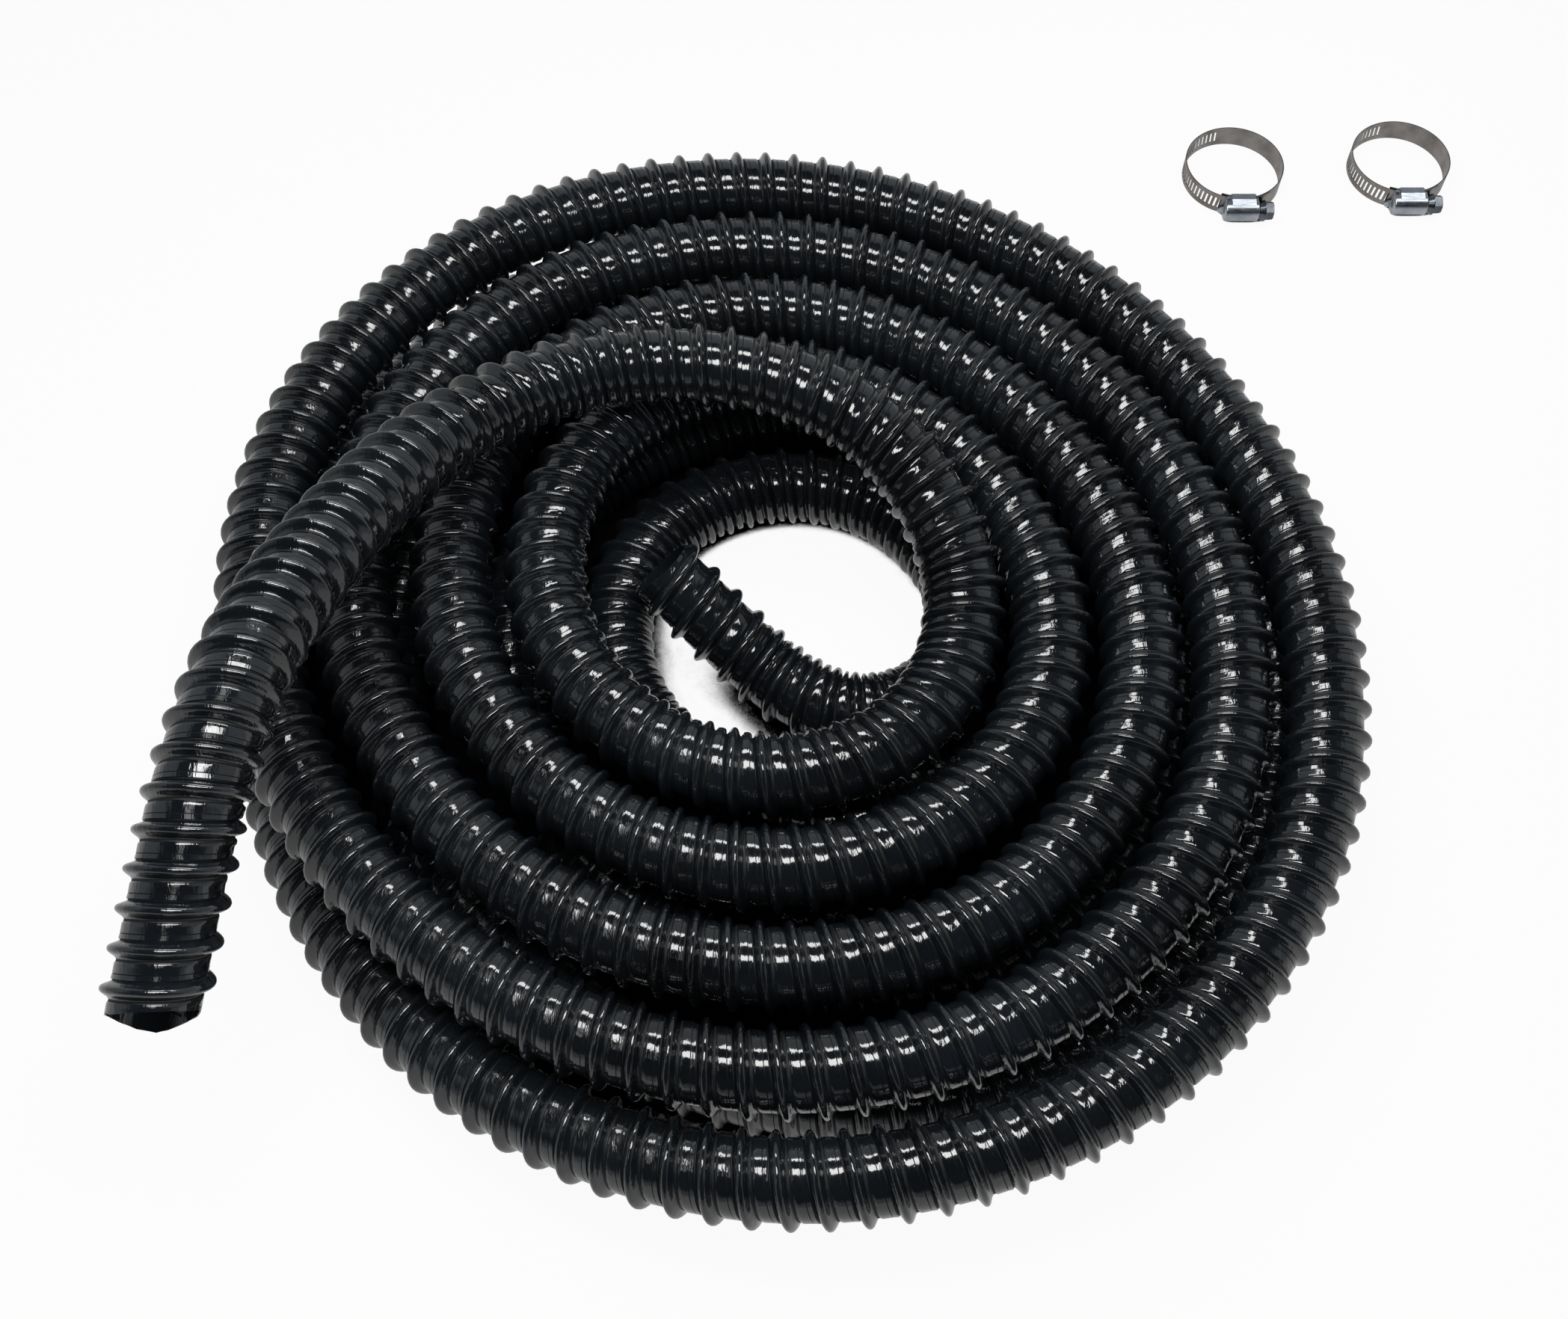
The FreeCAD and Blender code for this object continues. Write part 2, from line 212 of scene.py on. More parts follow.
@dataclass(frozen=True)
class SteelFinish:
    """Bright stainless or zinc-plated steel, with the grain of its rolling or turning."""

    name: str
    tone: str
    dark: str
    roughness: float
    grain_mm: tuple[float, float, float]
    stain_mm: float = 11.0

    def build(self) -> bpy.types.Material:
        """Make the material, with its grain stretched along the way the metal was worked.

        Returns:
            The material.
        """
        material = bpy.data.materials.new(self.name)
        material.use_nodes = True
        tree = material.node_tree
        tree.nodes.clear()
        place = add_node(tree, "ShaderNodeTexCoord")
        stretch = add_node(tree, "ShaderNodeMapping", inputs={
            "Vector": place.outputs["Object"], "Scale": tuple(per_metre(g) for g in self.grain_mm)})
        grain = add_node(tree, "ShaderNodeTexNoise", inputs={
            "Vector": stretch.outputs["Vector"], "Scale": 1.0, "Detail": 4.0, "Roughness": 0.65})
        stain = add_node(tree, "ShaderNodeTexNoise", inputs={
            "Vector": place.outputs["Object"], "Scale": per_metre(self.stain_mm), "Detail": 3.0})
        colour = add_node(tree, "ShaderNodeValToRGB", inputs={"Fac": stain.outputs["Fac"]})
        set_ramp(colour, [(0.28, self.dark), (0.62, self.tone)])
        sheen = add_node(tree, "ShaderNodeMapRange", inputs={
            "Value": grain.outputs["Fac"], "From Min": 0.3, "From Max": 0.75,
            "To Min": self.roughness * 0.7, "To Max": self.roughness * 1.5})
        bump = add_node(tree, "ShaderNodeBump", inputs={
            "Height": grain.outputs["Fac"], "Strength": 0.3, "Distance": 0.00005})
        shader = add_node(tree, "ShaderNodeBsdfPrincipled", inputs={
            "Base Color": colour.outputs["Color"], "Metallic": 1.0,
            "Roughness": sheen.outputs["Result"], "Normal": bump.outputs["Normal"]})
        add_node(tree, "ShaderNodeOutputMaterial", inputs={"Surface": shader.outputs["BSDF"]})
        return material


# Rolled strip: long soft lines along the band, and a bright face that takes the room's colours.
ROLLED_STRIP = SteelFinish("rolled_stainless_strip", "#b3aeaa", "#857e79", 0.24, (6.0, 6.0, 0.25))
# Pressed sheet: smoother and colder than the strip, because the die polishes it.
PRESSED_STAINLESS = SteelFinish("pressed_stainless", "#dde3ea", "#b0b8c2", 0.3, (8.0, 0.6, 0.6))
# Zinc plate over turned steel: fine rings round the axis, and a darker and bluer grey than the band's.
ZINC_PLATE = SteelFinish("zinc_plated_steel", "#8b9096", "#4f5459", 0.26, (0.4, 4.0, 4.0))
# Soft PVC as it leaves the die: glossy, nearly black, faintly uneven. The drag lines are drawn wider
# than real ones, because the real ones are too fine to show.
BLACK_VINYL = VinylFinish()


@dataclass
class HoseRoute:
    """The hose's centreline, from the outer mouth over the coil, round two layers to the inner mouth.

    The control points lie outside the turns that they make, and chord_share is the turn's radius as a
    share of theirs. Turns of one layer lie turn_gap apart or more. The lower layer steps in three times
    from its outer turn and then hooks round to the inner mouth.
    """

    coil_x: float = -64.73
    coil_y: float = -36.06
    lower_z: float = 20.0
    upper_z: float = 60.3
    chord_share: float = 0.967
    turn_gap: float = 41.0
    push_rounds: int = 200
    push_in: float = 0.6
    push_out: float = 0.4
    point_step: int = 30
    upper_end: int = 1500
    spiral_end: float = 1590.0
    lower_end: int = 1020
    landing_lift: float = 4.5
    lower_start: float = 210.0
    middle_radius: float = 188.0
    last_radius: float = 92.0
    lower_steps: tuple[tuple[float, float], ...] = ((262.0, 365.0), (630.0, 725.0), (936.0, 1035.0))
    inner_centre: tuple[float, float] = (8.3, 6.7)
    inner_radius: float = 87.5
    hook_centre: tuple[float, float] = (41.0, 15.0)
    hook_radius: float = 56.0
    crossing: list[tuple[float, float, float]] = field(default_factory=lambda: [
        (-224.0, -230.0, 152.0), (-213.4, -175.3, 179.2), (-208.7, -150.9, 186.8),
        (-203.8, -125.5, 189.5), (-199.5, -100.1, 185.9), (-195.4, -76.0, 177.0),
        (-189.3, -44.8, 162.5), (-180.6, -11.2, 147.0), (-168.4, 21.5, 132.2),
        (-150.2, 52.6, 119.4), (-125.4, 80.0, 109.8), (-93.2, 100.6, 104.3),
        (-55.6, 108.2, 102.8), (-11.4, 103.6, 102.6), (29.0, 90.3, 98.0),
        (60.5, 68.0, 86.5), (80.2, 37.2, 76.0),
    ])
    drop: tuple[tuple[float, float, float], ...] = (
        (1530, 269.5, 54.0), (1560, 253.6, 33.0), (1590, 242.0, 20.4))
    mouth_run: tuple[tuple[float, float, float], ...] = (
        (40.0, -42.0, 20.0), (13.0, -31.0, 20.0), (-12.0, -11.0, 24.5), (-54.0, 20.5, 54.5))

    def polar(self, degrees: float, radius: float, z: float,
              centre: tuple[float, float] = (0.0, 0.0)) -> tuple[float, float, float]:
        """Place a control point of a turn.

        Args:
            degrees: Angle from +X, anticlockwise.
            radius: Radius of the centreline that the point pulls outwards.
            z: Height.
            centre: The turn's centre, from the coil's own.

        Returns:
            The point, from the coil's centre.
        """
        a = math.radians(degrees)
        reach = radius / self.chord_share
        return (centre[0] + reach * math.cos(a), centre[1] + reach * math.sin(a), z)

    def upper_radius(self, turned: float) -> float:
        """Work out the centreline radius of the upper layer, an oval spiral with two lobes.

        Args:
            turned: Degrees turned clockwise from +X.

        Returns:
            Radius there, before neighbouring turns are pushed clear of each other.
        """
        t = turned / self.spiral_end
        a = math.radians(-turned)
        base = 90.1 + 190.4 * t
        oval = (4.4 - 13.1 * t) * math.cos(a) + (11.3 - 6.6 * t) * math.sin(a)
        lobes = -(2.2 + 1.25 * t) * math.cos(2 * a) - (1.4 + 13.4 * t) * math.sin(2 * a)
        return base + oval + lobes

    def upper_radii(self) -> list[float]:
        """Work out the upper layer's radii, with neighbouring turns pushed clear of each other.

        Returns:
            Radius at each of the layer's points.
        """
        radii = [self.upper_radius(turned) for turned in range(0, self.upper_end + 1, self.point_step)]
        round_trip = 360 // self.point_step
        for _ in range(self.push_rounds):
            for i in range(len(radii) - round_trip):
                short = self.turn_gap - (radii[i + round_trip] - radii[i])
                if short > 0:
                    radii[i] -= short * self.push_in
                    radii[i + round_trip] += short * self.push_out
        return radii

    def lower_radius(self, turned: float) -> float:
        """Work out the centreline radius of the lower layer.

        Args:
            turned: Degrees turned clockwise from the layer's start.

        Returns:
            Radius there.
        """
        a = math.radians(self.lower_start - turned)
        outer = 245.0 - 5.0 * math.sin(2 * a) + 4.0 * math.sin(a)
        inner = 134.0 + 6.0 * math.cos(a - math.radians(45.0))
        turns = (outer, self.middle_radius, inner, self.last_radius)
        radius = outer
        for before, after, (start, end) in zip(turns, turns[1:], self.lower_steps):
            radius += (after - before) * smooth_ramp(turned, start, end)
        return radius

    def control_points(self) -> list[tuple[float, float, float]]:
        """List the route's control points, the same as those of the hose's solids.

        Returns:
            The points in the frame's own coordinates.
        """
        points = list(self.crossing)
        step = self.point_step
        for i, radius in enumerate(self.upper_radii()):
            lift = self.landing_lift if i == 0 else 0.0
            points.append(self.polar(-step * i, radius, self.upper_z + lift))
        for turned, radius, z in self.drop:
            points.append(self.polar(-turned, radius, z))
        for turned in range(step, self.lower_end + 1, step):
            radius = self.lower_radius(turned)
            points.append(self.polar(self.lower_start - turned, radius, self.lower_z))
        for angle in range(240, 29, -step):
            points.append(self.polar(angle, self.inner_radius, self.lower_z, self.inner_centre))
        for angle in range(0, -61, -step):
            points.append(self.polar(angle, self.hook_radius, self.lower_z, self.hook_centre))
        points += self.mouth_run
        return [(x + self.coil_x, y + self.coil_y, z) for x, y, z in points]

    def spline_points(self) -> np.ndarray:
        """Draw the smooth NURBS line that the control points make.

        Returns:
            Points of the line, in millimetres, one row each.
        """
        curve = bpy.data.curves.new("hose_route", "CURVE")
        curve.dimensions = "3D"
        spline = curve.splines.new("NURBS")
        points = self.control_points()
        spline.points.add(len(points) - 1)
        for place, point in zip(spline.points, points):
            place.co = (point[0] * MM, point[1] * MM, point[2] * MM, 1.0)
        spline.order_u = 3
        spline.use_endpoint_u = True
        spline.resolution_u = 24
        line = bpy.data.objects.new("hose_route", curve)
        bpy.context.scene.collection.objects.link(line)
        bpy.context.view_layer.update()
        mesh = bpy.data.meshes.new_from_object(line)
        rows = np.array([v.co[:] for v in mesh.vertices]) / MM
        bpy.data.meshes.remove(mesh)
        bpy.data.objects.remove(line)
        bpy.data.curves.remove(curve)
        return rows


def smooth_ramp(value: float, start: float, end: float) -> float:
    """Smooth step from 0 at start to 1 at end."""
    share = min(1.0, max(0.0, (value - start) / (end - start)))
    return share * share * (3.0 - 2.0 * share)


def smooth_rows(rows: np.ndarray, reach: int) -> np.ndarray:
    """Average each row with its neighbours, twice.

    Args:
        rows: Values, one row for each step of a line.
        reach: Number of steps on each side.

    Returns:
        Smoothed rows, as many as were given.
    """
    kernel = np.ones(2 * reach + 1) / (2 * reach + 1)
    for _ in range(2):
        padded = np.pad(rows, ((reach, reach), (0, 0)), mode="edge")
        columns = [np.convolve(column, kernel, mode="valid") for column in padded.T]
        rows = np.stack(columns, 1)
    return rows


class Centreline:
    """The hose's line in millimetres, with a level frame, its bends and the length of material along it.

    A bend squeezes the hose's flexible panels on its inner side and leaves them long on its outer side,
    so a bent hose is shorter along its centreline than the same hose laid straight.
    """

    SPARE = 40.0
    PLACE_REACH = 2
    TANGENT_REACH = 4
    BEND_REACH = 9
    END_SQUEEZE = 0.07
    SQUEEZED_TO = 230.0
    SQUEEZE_FADE = 130.0

    def __init__(self, rows: np.ndarray, neutral: float) -> None:
        """Resample the line every millimetre.

        Args:
            rows: Points of the line, in millimetres.
            neutral: Distance from the centreline to the fibre that keeps its length in a bend.
        """
        step = np.linalg.norm(np.diff(rows, axis=0), axis=1)
        rows = rows[np.concatenate([[True], step > 1e-6])]
        step = np.linalg.norm(np.diff(rows, axis=0), axis=1)
        run = np.concatenate([[0.0], np.cumsum(step)])
        self.length = float(run[-1])
        first = (rows[0] - rows[1]) / step[0]
        last = (rows[-1] - rows[-2]) / step[-1]
        rows = np.vstack([rows[0] + first * self.SPARE, rows, rows[-1] + last * self.SPARE])
        run = np.concatenate([[-self.SPARE], run, [self.length + self.SPARE]])
        self.s = np.linspace(run[0], run[-1], int(run[-1] - run[0]) + 1)
        self.place = np.stack([np.interp(self.s, run, rows[:, k]) for k in range(3)], 1)
        self.place = smooth_rows(self.place, self.PLACE_REACH)
        tangent = np.gradient(self.place, self.s, axis=0)
        tangent = smooth_rows(tangent / np.linalg.norm(tangent, axis=1)[:, None], self.TANGENT_REACH)
        self.along = tangent / np.linalg.norm(tangent, axis=1)[:, None]
        self.bend = smooth_rows(np.gradient(self.along, self.s, axis=0), self.BEND_REACH)
        up = np.array([0.0, 0.0, 1.0]) - self.along[:, 2:3] * self.along
        self.up = up / np.linalg.norm(up, axis=1)[:, None]
        self.side = np.cross(self.up, self.along)
        tightness = np.linalg.norm(self.bend, axis=1)
        stretch = 1.0 + neutral * tightness
        near_mouth = np.clip((self.SQUEEZED_TO - self.s) / self.SQUEEZE_FADE, 0.0, 1.0)
        stretch += self.END_SQUEEZE * near_mouth
        gain = 0.5 * (stretch[1:] + stretch[:-1]) * np.diff(self.s)
        self.material = np.concatenate([[0.0], np.cumsum(gain)])
        self.material -= np.interp(0.0, self.s, self.material)
        self.material_length = float(np.interp(self.length, self.s, self.material))

    def station(self, material: np.ndarray) -> np.ndarray:
        """Distance along the line for each length of material."""
        return np.interp(material, self.material, self.s)

    def sample(self, rows: np.ndarray, s: np.ndarray) -> np.ndarray:
        """Rows of one of the line's tables at the given distances."""
        return np.stack([np.interp(s, self.s, rows[:, k]) for k in range(3)], 1)

    def around(self, s: np.ndarray, radius: np.ndarray, angle: np.ndarray) -> np.ndarray:
        """Place points round the line.

        Args:
            s: Distance of each point along the line.
            radius: Its distance from the line.
            angle: Its angle from the underside, in radians.

        Returns:
            The points, one row each.
        """
        side = self.sample(self.side, s)
        up = self.sample(self.up, s)
        reach = np.sin(angle)[:, None] * side - np.cos(angle)[:, None] * up
        return self.sample(self.place, s) + radius[:, None] * reach


def outwardness(faces: Iterable[bmesh.types.BMFace]) -> float:
    """How far faces round the X axis point away from it, taken together."""
    return sum(f.normal.dot(Vector((0, *f.calc_center_median().yz))) for f in faces)


@dataclass
class RibbedHose:
    """The hose's skin with its helical rib, in lengths that meet on a panel, and its smooth bore.

    The skin starts lead turns before the outer mouth's cut. The rib is trimmed flat for trim_turn turns
    after the cut and rises over the next trim_fade. A bend never gives a rib more than rib_most of its
    way to the panel's middle. Where it leaves a panel less than swell_from of its width, the panel
    swells outwards. The lips are angles in degrees round each mouth, each with the cut's overhang.
    """

    pitch: float = 15.6
    bore_r: float = 15.9
    panel_r: float = 16.5
    crest_r: float = 20.0
    neutral: float = 13.3
    rib_half: float = 0.21
    lead: float = 1.955
    trim_turn: float = 0.16
    trim_fade: float = 0.14
    swell_from: float = 0.86
    swell_gain: float = 7.5
    swell_most: float = 3.0
    rib_most: float = 0.85
    sharp_from: float = 38.0
    steps: int = 36
    lengths: int = 7
    spare_turns: float = 1.1
    cut_reach: float = 1.6
    rim_reach: float = 1.5
    rim_depth: float = 0.45
    bore_depth: float = 24.0
    bore_sides: int = 28
    bore_step: float = 9.0
    bore_overlap: float = 6.0
    bore_gap: float = 0.02
    bore_wall: float = 0.04
    path_points: int = 1600
    outer_lip: tuple[tuple[float, float], ...] = (
        (0.0, 11.2), (14.0, 12.7), (36.0, 12.2), (62.0, 9.9), (90.0, 6.6), (113.0, 4.6),
        (150.0, 2.0), (185.0, -1.2), (225.0, -3.0), (285.0, -2.4), (318.0, 3.0), (360.0, 11.2))
    inner_lip: tuple[tuple[float, float], ...] = (
        (0.0, 1.2), (90.0, 0.2), (180.0, -0.8), (270.0, 0.5), (360.0, 1.2))
    route: HoseRoute = field(default_factory=HoseRoute)

    def __post_init__(self) -> None:
        """Lay the centreline and count the turns of rib on it."""
        self.line = Centreline(self.route.spline_points(), self.neutral)
        self.turns = self.line.material_length / self.pitch
        self.turns_each = math.ceil((self.turns + self.lead + self.spare_turns) / self.lengths)

    def profile(self) -> list[tuple[float, float]]:
        """Draw one pitch of the skin, from panel over the rib to panel.

        Returns:
            Share of the pitch and radius of each corner.
        """
        p, c = self.panel_r, self.crest_r
        panel = [(-0.5, p), (-0.42, p + 0.03), (-0.335, p + 0.02)]
        wide_groove = [(-0.315, p - 0.18), (-0.285, p - 0.42), (-0.255, p - 0.45), (-0.225, p - 0.38),
                       (-0.195, p + 0.05)]
        flank = [(0.038, c - 0.1), (0.074, c - 0.5), (0.109, c - 1.25), (0.141, c - 2.15),
                 (0.167, c - 2.95)]
        rib = [(-f, r) for f, r in reversed(flank)] + [(0.0, c)] + flank
        narrow_groove = [(0.19, p + 0.02), (0.215, p - 0.42), (0.238, p - 0.42), (0.252, p + 0.16)]
        slope = [(0.31, p + 0.08), (0.374, p + 0.02)]
        fine_groove = [(0.382, p - 0.22), (0.392, p - 0.20), (0.402, p), (0.5, p)]
        return panel + wide_groove + rib + narrow_groove + slope + fine_groove

    def one_turn(self) -> bpy.types.Mesh:
        """Spin the profile once round a right-handed helix along X.

        Returns:
            Mesh of one turn of straight skin, in millimetres.
        """
        bm = bmesh.new()
        verts = [bm.verts.new((f * self.pitch, r, 0.0)) for f, r in self.profile()]
        edges = [bm.edges.new(pair) for pair in zip(verts, verts[1:])]
        bmesh.ops.spin(
            bm, geom=verts + edges, cent=(0, 0, 0), axis=(1, 0, 0), angle=2 * math.pi,
            dvec=(self.pitch / self.steps, 0, 0), steps=self.steps, use_merge=False,
            use_duplicate=False)
        bmesh.ops.recalc_face_normals(bm, faces=bm.faces)
        if outwardness(bm.faces) < 0:
            bmesh.ops.reverse_faces(bm, faces=bm.faces)
        mesh = bpy.data.meshes.new("hose_turn")
        bm.to_mesh(mesh)
        bm.free()
        return mesh

    def straight_length(self) -> bpy.types.Mesh:
        """Repeat the turn along X and merge it where turns meet.

        Returns:
            Mesh of one length of straight skin, in millimetres.
        """
        turn = bpy.data.objects.new("hose_turn", self.one_turn())
        bpy.context.scene.collection.objects.link(turn)
        row = turn.modifiers.new("turns", "ARRAY")
        row.count = self.turns_each
        row.use_relative_offset = False
        row.use_constant_offset = True
        row.constant_offset_displace = (self.pitch, 0.0, 0.0)
        row.use_merge_vertices = True
        row.merge_threshold = 0.01
        bpy.context.view_layer.update()
        depsgraph = bpy.context.evaluated_depsgraph_get()
        mesh = bpy.data.meshes.new_from_object(turn.evaluated_get(depsgraph))
        bpy.data.objects.remove(turn)
        return mesh

    def wrap(self, mesh: bpy.types.Mesh, first_turn: int) -> None:
        """Bend a straight length of skin onto the line: ribs keep their width and panels take the bend.

        Args:
            mesh: Straight skin, which becomes the bent one, in metres, with a UV map in metres.
            first_turn: Number of turns of rib before this length.
        """
        count = len(mesh.vertices)
        flat = np.empty(count * 3, np.float32)
        mesh.vertices.foreach_get("co", flat)
        x, y, z = flat.reshape(-1, 3).astype(float).T
        radius = np.hypot(y, z)
        angle = np.mod(np.arctan2(z, y), 2 * math.pi)
        angle[angle > 2 * math.pi - 1e-4] = 0.0
        share = angle / (2 * math.pi)
        turn = np.round(x / self.pitch - share)
        f = x / self.pitch - share - turn
        phase = turn + share + first_turn - self.lead
        bead = np.clip((phase - self.trim_turn) / self.trim_fade, 0.0, 1.0)
        trimmed = self.panel_r + (radius - self.panel_r) * bead
        radius = np.where(radius > self.panel_r, trimmed, radius)
        middle = self.line.station(phase * self.pitch)
        sign = np.where(f < 0, -1.0, 1.0)
        reach = np.abs(self.line.station((phase + 0.5 * sign) * self.pitch) - middle)
        bend = self.line.sample(self.line.bend, middle)
        outward = (np.sin(angle)[:, None] * self.line.sample(self.line.side, middle)
                   - np.cos(angle)[:, None] * self.line.sample(self.line.up, middle))
        gain = 1.0 - radius * np.sum(bend * outward, 1)
        half = self.rib_half
        rib = np.minimum(half * self.pitch / gain, self.rib_most * reach)
        size = np.abs(f)
        room = (reach - rib) * gain / ((0.5 - half) * self.pitch)
        swell = np.clip((self.swell_from - room) * self.swell_gain, 0.0, self.swell_most)
        arch = 1.0 - ((0.5 - size) / (0.5 - half)) ** 4
        radius = radius + np.where(size > half, swell * arch, 0.0)
        inside = size / half * rib
        beyond = rib + (size - half) / (0.5 - half) * (reach - rib)
        s = middle + sign * np.where(size < half, inside, beyond)
        rows = self.line.around(s, radius, angle) * MM
        mesh.vertices.foreach_set("co", rows.astype(np.float32).ravel())
        self.unwrap(mesh, np.stack([x, y, z], 1), first_turn)
        mesh.update()

    def unwrap(self, mesh: bpy.types.Mesh, straight: np.ndarray, first_turn: int) -> None:
        """Give the skin a UV map in metres: across the rib, and along the rib's helix.

        Args:
            mesh: Skin that gets the map.
            straight: Its corners as they were when it lay straight.
            first_turn: Number of turns of rib before it.
        """
        loops = np.empty(len(mesh.loops), np.int32)
        mesh.loops.foreach_get("vertex_index", loops)
        totals = np.empty(len(mesh.polygons), np.int32)
        mesh.polygons.foreach_get("loop_total", totals)
        starts = np.empty(len(mesh.polygons), np.int32)
        mesh.polygons.foreach_get("loop_start", starts)
        owner = np.repeat(np.arange(len(totals)), totals)
        corner = straight[loops]
        middle = np.add.reduceat(corner, starts, axis=0) / totals[:, None]
        face_angle = np.mod(np.arctan2(middle[:, 2], middle[:, 1]), 2 * math.pi)
        face_share = face_angle / (2 * math.pi)
        face_turn = np.round(middle[:, 0] / self.pitch - face_share)
        angle = np.arctan2(corner[:, 2], corner[:, 1])
        swing = np.mod(angle - face_angle[owner] + math.pi, 2 * math.pi) - math.pi
        helix = face_turn[owner] + face_share[owner] + swing / (2 * math.pi)
        across = corner[:, 0] - helix * self.pitch
        along = (helix + first_turn) * 2 * math.pi * self.panel_r
        layer = mesh.uv_layers.new(name="Rib")
        layer.data.foreach_set("uv", (np.stack([across, along], 1) * MM).astype(np.float32).ravel())

    def faces_near(self, bm: bmesh.types.BMesh, where: float) -> list[bmesh.types.BMFace]:
        """Faces of a straight length that a cut at a place along X may reach."""
        reach = self.cut_reach * self.pitch
        return [f for f in bm.faces if abs(f.calc_center_median().x - where) < reach]

    def cut_mouth(self, mesh: bpy.types.Mesh, where: float, mouth: Mouth,
                  lip: tuple[tuple[float, float], ...]) -> None:
        """Cut a straight length square with a knife's facets below, and turn its edge in to the bore.

        Args:
            mesh: Straight skin.
            where: Place of the cut along X.
            mouth: Which of the hose's two ends the cut makes.
            lip: Angle in degrees from the underside and overhang of each corner of the cut's edge.
        """
        keep = mouth.value
        bm = bmesh.new()
        bm.from_mesh(mesh)
        corners = []
        for degrees, hang in lip:
            a = math.radians(degrees)
            y, z = self.panel_r * math.cos(a), self.panel_r * math.sin(a)
            corners.append(Vector((where - keep * hang, y, z)))
        for a, b in zip(corners, corners[1:]):
            outward = Vector((0.0, *((a + b) / 2.0).yz))
            normal = (b - a).cross(outward).normalized()
            near = self.faces_near(bm, where)
            geom = list(dict.fromkeys(e for f in near for e in (f, *f.edges, *f.verts)))
            bmesh.ops.bisect_plane(bm, geom=geom, plane_co=a, plane_no=normal, dist=0.001)
        angles = [math.radians(d) for d, _ in lip]
        hangs = [h for _, h in lip]
        lost = []
        for face in bm.faces:
            c = face.calc_center_median()
            angle = math.atan2(c.z, c.y) % (2 * math.pi)
            edge = where - keep * float(np.interp(angle, angles, hangs))
            if (c.x - edge) * keep < 0:
                lost.append(face)
        bmesh.ops.delete(bm, geom=lost, context="FACES")
        rim = [e for e in bm.edges if e.is_boundary
               and abs(sum(v.co.x for v in e.verts) / 2.0 - where) < self.rim_reach * self.pitch
               and max(v.co.x * keep for v in e.verts) - where * keep < self.rim_depth * self.pitch]
        walls = bmesh.ops.extrude_edge_only(bm, edges=rim)["geom"]
        ring = [v for v in walls if isinstance(v, bmesh.types.BMVert)]
        for v in ring:
            shrink = self.bore_r / math.hypot(v.co.y, v.co.z)
            v.co.y *= shrink
            v.co.z *= shrink
        inner = [e for e in walls if isinstance(e, bmesh.types.BMEdge)]
        bore = bmesh.ops.extrude_edge_only(bm, edges=inner)["geom"]
        for v in (g for g in bore if isinstance(g, bmesh.types.BMVert)):
            v.co.x = where + keep * self.bore_depth
        bmesh.ops.recalc_face_normals(bm, faces=bm.faces)
        outer = [f for f in bm.faces if math.hypot(*f.calc_center_median().yz) > self.bore_r]
        if outwardness(outer) < 0:
            bmesh.ops.reverse_faces(bm, faces=bm.faces)
        bm.to_mesh(mesh)
        bm.free()

    def build_skin(self) -> list[bpy.types.Object]:
        """Build the lengths of skin from the outer mouth to the inner one.

        Returns:
            Objects of the lengths, in that order.
        """
        straight = self.straight_length()
        pieces = []
        for k in range(self.lengths):
            mesh = straight.copy()
            first_turn = k * self.turns_each
            if k == 0:
                self.cut_mouth(mesh, self.lead * self.pitch, Mouth.OUTER, self.outer_lip)
            if k == self.lengths - 1:
                end = (self.turns + self.lead - first_turn) * self.pitch
                self.cut_mouth(mesh, end, Mouth.INNER, self.inner_lip)
            self.wrap(mesh, first_turn)
            mesh.polygons.foreach_set("use_smooth", [True] * len(mesh.polygons))
            mesh.set_sharp_from_angle(angle=math.radians(self.sharp_from))
            piece = bpy.data.objects.new(f"hose_skin_{k + 1}", mesh)
            bpy.context.scene.collection.objects.link(piece)
            pieces.append(piece)
        bpy.data.meshes.remove(straight)
        return pieces

    def build_liner(self) -> tuple[bpy.types.Object, list[list[float]]]:
        """Build the smooth bore between the mouths' own stretches of it, as a thin closed wall.

        Returns:
            The liner, and the points in metres that it follows.
        """
        start = self.bore_depth - self.bore_overlap
        end = self.line.length - self.bore_depth + self.bore_overlap
        count = int((end - start) / self.bore_step)
        stations = np.linspace(start, end, count + 1)
        bm = bmesh.new()
        circle = bmesh.ops.create_circle(
            bm, cap_ends=False, radius=self.bore_r + self.bore_gap, segments=self.bore_sides)["verts"]
        loop = list(dict.fromkeys(e for v in circle for e in v.link_edges))
        for _ in range(count):
            geom = bmesh.ops.extrude_edge_only(bm, edges=loop)["geom"]
            ring = [g for g in geom if isinstance(g, bmesh.types.BMVert)]
            bmesh.ops.translate(bm, verts=ring, vec=(0, 0, 1))
            loop = [g for g in geom if isinstance(g, bmesh.types.BMEdge)]
        mesh = bpy.data.meshes.new("hose_liner")
        bm.to_mesh(mesh)
        bm.free()
        flat = np.empty(len(mesh.vertices) * 3, np.float32)
        mesh.vertices.foreach_get("co", flat)
        x, y, z = flat.reshape(-1, 3).astype(float).T
        s = stations[np.clip(np.round(z).astype(int), 0, count)]
        rows = self.line.around(s, np.hypot(x, y), np.arctan2(y, x)) * MM
        mesh.vertices.foreach_set("co", rows.astype(np.float32).ravel())
        mesh.polygons.foreach_set("use_smooth", [True] * len(mesh.polygons))
        liner = bpy.data.objects.new("hose_liner", mesh)
        bpy.context.scene.collection.objects.link(liner)
        wall = liner.modifiers.new("wall", "SOLIDIFY")
        wall.thickness = self.bore_wall * MM
        wall.offset = 1.0
        stations = np.linspace(0.0, self.line.length, self.path_points)
        path = self.line.sample(self.line.place, stations) * MM
        return liner, path.tolist()

